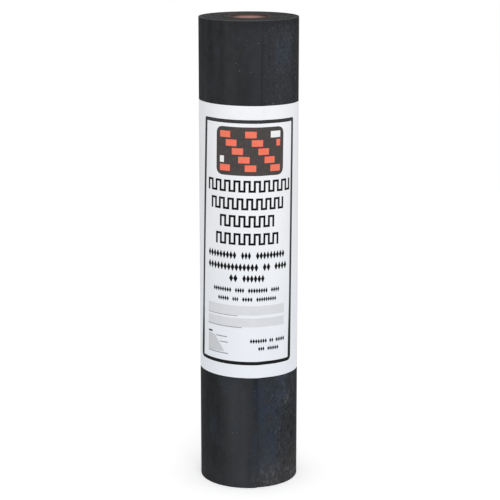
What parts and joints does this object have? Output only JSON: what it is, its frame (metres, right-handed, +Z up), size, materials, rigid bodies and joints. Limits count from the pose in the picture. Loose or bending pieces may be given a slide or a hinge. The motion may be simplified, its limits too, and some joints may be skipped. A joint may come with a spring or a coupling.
{
  "type": "roll of roofing felt",
  "caption": "Upright roll of black mineral-surfaced roofing felt wound on a cardboard core, with a paper label band glued around it.",
  "frame": {"origin": "on the core's axis at the bottom end, where the roll meets the floor", "axes": "+Z up the core's axis; -Y is the front, with the printed side of the label and, a little towards +X, the loose edge"},
  "size_m": [0.1923, 0.1942, 0.9144],
  "materials": {
    "core_board": "matte",
    "asphalt_felt": "matte",
    "label_paper": "satin"
  },
  "bodies": {
    "root": {"core_tube": "core_board", "felt_roll": "asphalt_felt", "label_wrap": "label_paper"}
  },
  "joints": []
}
